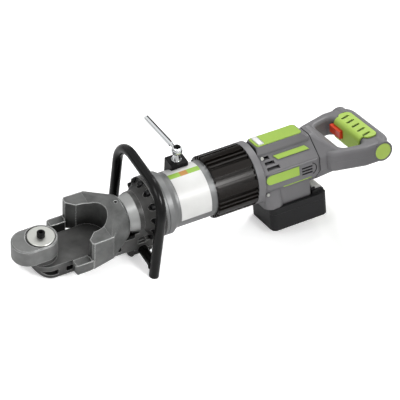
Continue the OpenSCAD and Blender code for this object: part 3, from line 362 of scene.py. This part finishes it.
def turned(thing):
    """Turns a piece with the motor and handle, about the tool's long axis."""
    place_in_mesh(thing)
    thing.rotation_euler = (TURN, 0, 0)
    place_in_mesh(thing)


def settle(thing, name, slot, body="tool", material=None):
    place_in_mesh(thing)
    thing.name = thing.data.name = name
    thing.data.materials.clear()
    thing.data.materials.append(material or finish[slot])
    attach(thing, body)
    reach = [point.co.x / MM for point in thing.data.vertices]
    print(name, "faces:", len(thing.data.polygons), "x in mm:", round(min(reach)), round(max(reach)))


# %% [markdown]
# The cylinder carries a wrapped plate of printed film. It could be painted on with a mask, but a real
# film has a thickness and an edge that catches light. It is made from an open cylinder: the faces
# outside its sector are deleted, two bisecting cuts let it be notched round the valve block, and
# Solidify gives the film its 0.2 mm. It is left without words.

# %% Film on the cylinder
FILM_X0, FILM_X1, FILM_TOP, FILM_LOW = 219, 272, radians(38), radians(-99)
BLOCK_X0, BLOCK_X1, BLOCK_EDGE = 231.5, 261.5, radians(22)
FILM_GAP, FILM_THICK = 0.12, 0.2
clear_selection()
bpy.ops.mesh.primitive_cylinder_add(vertices=180, radius=(SLEEVE_R + FILM_GAP) * MM,
                                    depth=(FILM_X1 - FILM_X0) * MM, end_fill_type="NOTHING",
                                    location=((FILM_X0 + FILM_X1) / 2 * MM, 0, 0), rotation=(0, pi / 2, 0))
film = bpy.context.object
place_in_mesh(film)


def around(point):
    """Angle about the long axis: 0 is up, towards the lever's side is positive."""
    return atan2(point.y, point.z)


for cut in (BLOCK_X0, BLOCK_X1):
    pick(film, lambda centre, normal: True)
    bpy.ops.mesh.bisect(plane_co=(cut * MM, 0, 0), plane_no=(1, 0, 0))
pick(film, lambda centre, normal: not FILM_LOW < around(centre) < FILM_TOP)
bpy.ops.mesh.delete(type="FACE")
pick(film, lambda centre, normal: BLOCK_X0 < centre.x / MM < BLOCK_X1 and around(centre) > BLOCK_EDGE)
bpy.ops.mesh.delete(type="FACE")
bpy.ops.object.mode_set(mode="OBJECT")
for face in film.data.polygons:
    if face.normal.dot(Vector((0, face.center.y, face.center.z))) < 0:
        face.flip()
thick = film.modifiers.new("film", "SOLIDIFY")
thick.thickness, thick.offset = FILM_THICK * MM, 1
bpy.ops.object.modifier_apply(modifier=thick.name)
print("film faces:", len(film.data.polygons))

# %% [markdown]
# The print on the film is plain: white, a lime band along its upper part and an orange patch in the
# band. The band lies between two angles round the cylinder and the patch between two places along X,
# so the material reads both from the Object coordinates and compares them with these edges. A satin
# laminate gives it a low, even gloss.

# %% Printed film
BAND_LOW, BAND_HIGH, PATCH_X0, PATCH_X1 = radians(-3), radians(10), 238, 251
material, tree, principled, place = start("printed_film", Roughness=0.45, IOR=1.49, Coat_Weight=0.1)
axes = put(tree, "SeparateXYZ", {"Vector": place})
angle = put(tree, "Math", {0: axes.outputs["Y"], 1: axes.outputs["Z"]}, operation="ARCTAN2").outputs["Value"]


def between(value, low, high):
    above = put(tree, "Math", {0: value, 1: low}, operation="GREATER_THAN").outputs["Value"]
    below = put(tree, "Math", {0: value, 1: high}, operation="LESS_THAN").outputs["Value"]
    return put(tree, "Math", {0: above, 1: below}, operation="MULTIPLY").outputs["Value"]


band = between(angle, BAND_LOW, BAND_HIGH)
patch_x = between(axes.outputs["X"], PATCH_X0 * MM, PATCH_X1 * MM)
patch = put(tree, "Math", {0: band, 1: patch_x}, operation="MULTIPLY").outputs["Value"]
paper = shade_spread(tree, place, 25.0, "#c9c9c7", "#d2d2d0")
lined = blend_colour(tree, band, paper, "#87ae3a")
tree.links.new(blend_colour(tree, patch, lined, "#ad7a30"), principled.inputs["Base Color"])
wave = put(tree, "TexNoise", {"Vector": place, "Scale": 120.0}).outputs["Fac"]
relief(tree, principled, wave, 0.02, 0.2)
settle(film, "cylinder_film", "latch_grey", material=material)

# %% [markdown]
# Slim lime pinstripes run under the long pods on both sides of the motor cover. One starts as a cube
# that is stretched to a straight bar, and its edges get a bevel. The other is a mirrored copy with its
# normals turned back out.

# %% Pinstripes under the pods
STRIPE_X0, STRIPE_X1, STRIPE_Y, STRIPE_Z = 400, 451, POD_Y - 1.1, POD_BOTTOM - 1.2
STRIPE_TALL, STRIPE_THICK, STRIPE_EDGE = 1.6, 0.8, 0.25


def other_side(thing):
    only(thing)
    bpy.ops.object.duplicate()
    twin = bpy.context.object
    twin.scale = (1, -1, 1)
    place_in_mesh(twin)
    bpy.ops.object.mode_set(mode="EDIT")
    bpy.ops.mesh.select_all(action="SELECT")
    bpy.ops.mesh.normals_make_consistent(inside=False)
    bpy.ops.object.mode_set(mode="OBJECT")
    return twin


clear_selection()
stripe_middle = ((STRIPE_X0 + STRIPE_X1) / 2 * MM, -STRIPE_Y * MM, STRIPE_Z * MM)
bpy.ops.mesh.primitive_cube_add(size=1, location=stripe_middle)
near = bpy.context.object
near.scale = ((STRIPE_X1 - STRIPE_X0) * MM, STRIPE_THICK * MM, STRIPE_TALL * MM)
place_in_mesh(near)
soften(near, STRIPE_EDGE)
far = other_side(near)
for stripe, name in ((near, "pinstripe_near"), (far, "pinstripe_far")):
    turned(stripe)
    settle(stripe, name, "lime")

# %% [markdown]
# A blank white plate sits at the front of the lime top panel. It is a thin cube whose edges all get
# a wide bevel and then a fine one. The wide bevel is deeper than the cube is tall, which raises the
# plate's rim by 1 mm. The middle lies 0.4 mm proud of the panel.

# %% Blank plate on the top panel
PLATE_X, PLATE_Z, PLATE_SIZE = PANEL_X0 + 9.5, PANEL_TOP + 0.15, (10, 25, 0.5)
PLATE_BEVEL, PLATE_EDGE = 1.6, 0.12
clear_selection()
bpy.ops.mesh.primitive_cube_add(size=1, location=(PLATE_X * MM, 0, PLATE_Z * MM))
plate = bpy.context.object
plate.scale = [size * MM for size in PLATE_SIZE]
place_in_mesh(plate)
bpy.ops.object.mode_set(mode="EDIT")
bpy.ops.mesh.select_all(action="SELECT")
bpy.ops.mesh.bevel(offset=PLATE_BEVEL * MM, segments=5, affect="EDGES")
bpy.ops.object.mode_set(mode="OBJECT")
soften(plate, PLATE_EDGE, angle=60)
turned(plate)
white_plate = moulded("white_plate", "#e9eae8", "#f2f2f0", 0.35, 1.2, 0.005)
settle(plate, "panel_plate", "latch_grey", material=white_plate)

# %% [markdown]
# Four small bright screws close the cover behind its front ring. A cylinder's top face is inset and
# pushed in for the dish, a second inset is raised a little as its bottom, and a bevel rounds the
# crown. One screw is modelled and copied. A ray cast inwards at each place finds the cover's skin
# and the way it faces, so that every head sits flat on it.

# %% Screws on the cover
SCREW_R, SCREW_TALL, SCREW_LIFT = 2.7, 2.4, 0.3
RIM_WIDE, DISH_DEEP, DISH_STEP, DRIVE_UP, CROWN_EDGE = 1.1, 1.2, 0.5, 0.3, 0.35
RAY_START = 120
clear_selection()
bpy.ops.mesh.primitive_cylinder_add(vertices=24, radius=SCREW_R * MM, depth=SCREW_TALL * MM)
screw = bpy.context.object
pick(screw, lambda centre, normal: normal.z > 0.9)
bpy.ops.mesh.inset(thickness=RIM_WIDE * MM)
bpy.ops.mesh.extrude_region_move(TRANSFORM_OT_translate={"value": (0, 0, -DISH_DEEP * MM)})
bpy.ops.mesh.inset(thickness=DISH_STEP * MM)
bpy.ops.mesh.extrude_region_move(TRANSFORM_OT_translate={"value": (0, 0, DRIVE_UP * MM)})
bpy.ops.object.mode_set(mode="OBJECT")
soften(screw, CROWN_EDGE, angle=50)


def seat_on(skin, source, name, x, degrees):
    out = Vector((0, sin(radians(degrees)), cos(radians(degrees))))
    hit, spot, facing, _ = skin.ray_cast(Vector((x * MM, 0, 0)) + out * (RAY_START * MM), -out)
    only(source)
    bpy.ops.object.duplicate()
    copy = bpy.context.object
    copy.location = spot + facing * SCREW_LIFT * MM
    copy.rotation_euler = facing.to_track_quat("Z", "Y").to_euler()
    settle(copy, name, "black_oxide", material=finish["zinc"])
    print("found the skin:", hit, "at mm", [round(value / MM, 1) for value in spot])


for number, (x, degrees) in enumerate(COVER_SCREWS):
    seat_on(frame["nodes"]["motor_cover"], screw, "cover_bolt_" + str(number + 1), x, degrees)
bpy.data.objects.remove(screw)

# %% [markdown]
# The bent bar is welded where its cross bar meets the legs. A weld is a ring of small overlapping
# ripples. A torus gives the ring. Every other stretch of it is fattened for the ripples, the two
# flanks are moved outwards in two steps so that the bead follows the round leg, and the points are
# smoothed, which is quicker than laying each drop by hand.

# %% Weld beads on the stand loop
BEAD_R, BEAD_GAP, RIPPLES, RIPPLE_TALL = 1.6, 0.5, 12, 0.35
FLANK_STEP, FLANK_STARTS, BEAD_SUNK = 1.5, (0.45, 0.8), 0.6


def weld(side):
    clear_selection()
    bpy.ops.mesh.primitive_torus_add(major_segments=72, minor_segments=12, major_radius=(BAR_R + BEAD_GAP) * MM,
                                     minor_radius=BEAD_R * MM, rotation=(pi / 2, 0, 0))
    bead = bpy.context.object
    place_in_mesh(bead)
    pick(bead, lambda centre, normal: int((atan2(centre.x, centre.z) + pi) / pi * RIPPLES) % 2 == 0)
    bpy.ops.transform.shrink_fatten(value=RIPPLE_TALL * MM)
    for reach in FLANK_STARTS:
        pick(bead, lambda centre, normal: abs(centre.x) > reach * BAR_R * MM)
        bpy.ops.transform.translate(value=(0, side * FLANK_STEP * MM, 0))
    bpy.ops.mesh.select_all(action="SELECT")
    bpy.ops.mesh.vertices_smooth(factor=0.5, repeat=2)
    bpy.ops.object.mode_set(mode="OBJECT")
    joint_x, joint_z = LOOP_X - BAR_DROP * sin(LOOP_LEAN), -BAR_DROP * cos(LOOP_LEAN)
    bead.location = (joint_x * MM, side * (LEG_Y - BAR_R + BEAD_SUNK) * MM, joint_z * MM)
    bpy.ops.object.shade_smooth()
    return bead


for side, name in ((-1, "weld_near"), (1, "weld_far")):
    settle(weld(side), name, "loop_black")

# %% [markdown]
# Light, floor and camera come last. The tool stands on the two feet of its loop and on the front
# edge of its battery, so the floor is laid against these points: the plane through the feet is
# tilted until it touches the lowest battery corner. The camera alone sees it a little brighter than
# it is, more so far away, so that it reads as a white sweep while the tool's soft shadow stays on it.

# %% Floor under the feet and the battery
FLOOR_METRES, FLOOR_GAP = 14, 0.4
GLOW_FROM, GLOW_TO, GLOW_LEAST = 0.7, 2.5, 0.42
loop_mesh = frame["nodes"]["stand_loop"].data
pack_mesh = frame["nodes"]["battery_lower_case"].data
foot = min((point.co.copy() for point in loop_mesh.vertices), key=lambda place: place.z)
tilt = max(atan2(foot.z - point.co.z, point.co.x - foot.x) for point in pack_mesh.vertices)
clear_selection()
bpy.ops.mesh.primitive_plane_add(size=FLOOR_METRES, location=(foot.x, 0, foot.z - FLOOR_GAP * MM),
                                 rotation=(0, tilt, 0))
floor = bpy.context.object
floor.name = "floor"
material, tree, principled, place = start("pale_floor", Roughness=0.8, Base_Color="#f7f7f7",
                                          Emission_Color="#ffffff")
to_camera = put(tree, "LightPath").outputs["Is Camera Ray"]
away = put(tree, "VectorMath", {0: place}, operation="LENGTH").outputs["Value"]
glow = put(tree, "MapRange", {"Value": away, "From Min": GLOW_FROM, "From Max": GLOW_TO,
                              "To Min": GLOW_LEAST, "To Max": 1.0})
lift = put(tree, "Math", {0: to_camera, 1: glow.outputs["Result"]}, operation="MULTIPLY").outputs["Value"]
tree.links.new(lift, principled.inputs["Emission Strength"])
floor.data.materials.append(material)
print("floor tilt in degrees:", round(tilt * 180 / pi, 2))

# %% [markdown]
# Soft studio light: a big lamp high at the front, where the die is, and an even pale world. A narrow
# lamp from the near side draws the highlight along the cylinder, and another from behind the handle
# lights the tops of the cover and the disc on the die. The camera and mirror-like metal see a white
# surround. Two dark cards out of the picture, seen only in reflections, give the chrome the dark
# bands of metal.

# %% World, lamps and cards
WORLD_LIGHT = 0.42
world = bpy.data.worlds.new("studio")
bpy.context.scene.world = world
world.use_nodes = True
tree = world.node_tree
ray = put(tree, "LightPath")
seen = put(tree, "Math", {0: ray.outputs["Is Camera Ray"], 1: ray.outputs["Is Glossy Ray"]},
           operation="MAXIMUM")
even = put(tree, "Background", {"Color": "#ffffff", "Strength": WORLD_LIGHT})
white = put(tree, "Background", {"Color": "#ffffff", "Strength": 1.0})
both = put(tree, "MixShader", {0: seen.outputs["Value"], 1: even.outputs["Background"],
                               2: white.outputs["Background"]})
tree.links.new(both.outputs["Shader"], tree.nodes["World Output"].inputs["Surface"])


def lamp(name, place, aim, size, power, spread=180):
    light = bpy.data.lights.new(name, "AREA")
    light.size, light.energy, light.spread = size, power, radians(spread)
    thing = bpy.data.objects.new(name, light)
    thing.location = place
    thing.rotation_euler = (Vector(aim) - Vector(place)).to_track_quat("-Z", "Y").to_euler()
    bpy.context.scene.collection.objects.link(thing)
    print(name, "watts:", power)


middle = (0.28, 0, 0)
lamp("key", (-1.2, -0.5, 1.7), middle, 0.9, 12)
lamp("fill", (0.48, -0.8, 0.7), (0.17, 0, 0), 0.4, 0.48, 34)
lamp("rim", (1.4, 0.9, 1.2), (0.5, 0, 0), 0.6, 4.2, 80)


def dark_card(name, place, width, height):
    clear_selection()
    bpy.ops.mesh.primitive_plane_add(size=1, location=place)
    card = bpy.context.object
    card.scale = (width, height, 1)
    card.rotation_euler = (Vector(middle) - Vector(place)).to_track_quat("Z", "Y").to_euler()
    card.name = name
    material, tree, principled, _ = start(name, Base_Color="#0c0c0c", Roughness=1.0)
    card.data.materials.append(material)
    card.visible_camera = card.visible_diffuse = card.visible_shadow = False


dark_card("card_left", (-1.05, 0.8, 0.25), 0.6, 0.25)
dark_card("card_behind", (0.92, 0.85, 0.58), 0.7, 1.1)

# %% [markdown]
# The camera stands where the photograph's was. Its direction, roll and focal length were worked out
# from the straight edges and round ends of the tool: 30.6 degrees round to the near left, 44.9
# degrees up, and a long lens about 3.3 m away. Three axes built from these angles place it, so that
# one point on the tool's long axis lands on its own pixel.

# %% Camera
AZIMUTH, ELEVATION, ROLL = radians(-30.6), radians(44.9), radians(3.62)
FOCAL_PX, DISTANCE, AXIS_X = 2079.0, 3.284, 0.317
AXIS_PIXEL, PICTURE_PX, SENSOR_MM = (223.5, 180.9), 400, 36.0
back = Vector((sin(AZIMUTH) * cos(ELEVATION), -cos(AZIMUTH) * cos(ELEVATION), sin(ELEVATION)))
right = Vector((cos(AZIMUTH), sin(AZIMUTH), 0))
up = back.cross(right)
rolled_right = cos(ROLL) * right + sin(ROLL) * up
rolled_up = -sin(ROLL) * right + cos(ROLL) * up
turn = Matrix((rolled_right, rolled_up, back)).transposed()
aside = [(pixel - PICTURE_PX / 2) / FOCAL_PX * DISTANCE for pixel in AXIS_PIXEL]
offset = Vector((aside[0], -aside[1], -DISTANCE))
lens = bpy.data.cameras.new("camera")
lens.sensor_width, lens.lens = SENSOR_MM, FOCAL_PX / PICTURE_PX * SENSOR_MM
lens.clip_start, lens.clip_end = 0.1, 50.0
camera = bpy.data.objects.new("camera", lens)
camera.matrix_world = Matrix.Translation(Vector((AXIS_X, 0, 0)) - turn @ offset) @ turn.to_4x4()
bpy.context.scene.collection.objects.link(camera)
bpy.context.scene.camera = camera
bpy.context.scene.view_settings.view_transform = "Standard"
print("lens in mm:", round(lens.lens, 1))
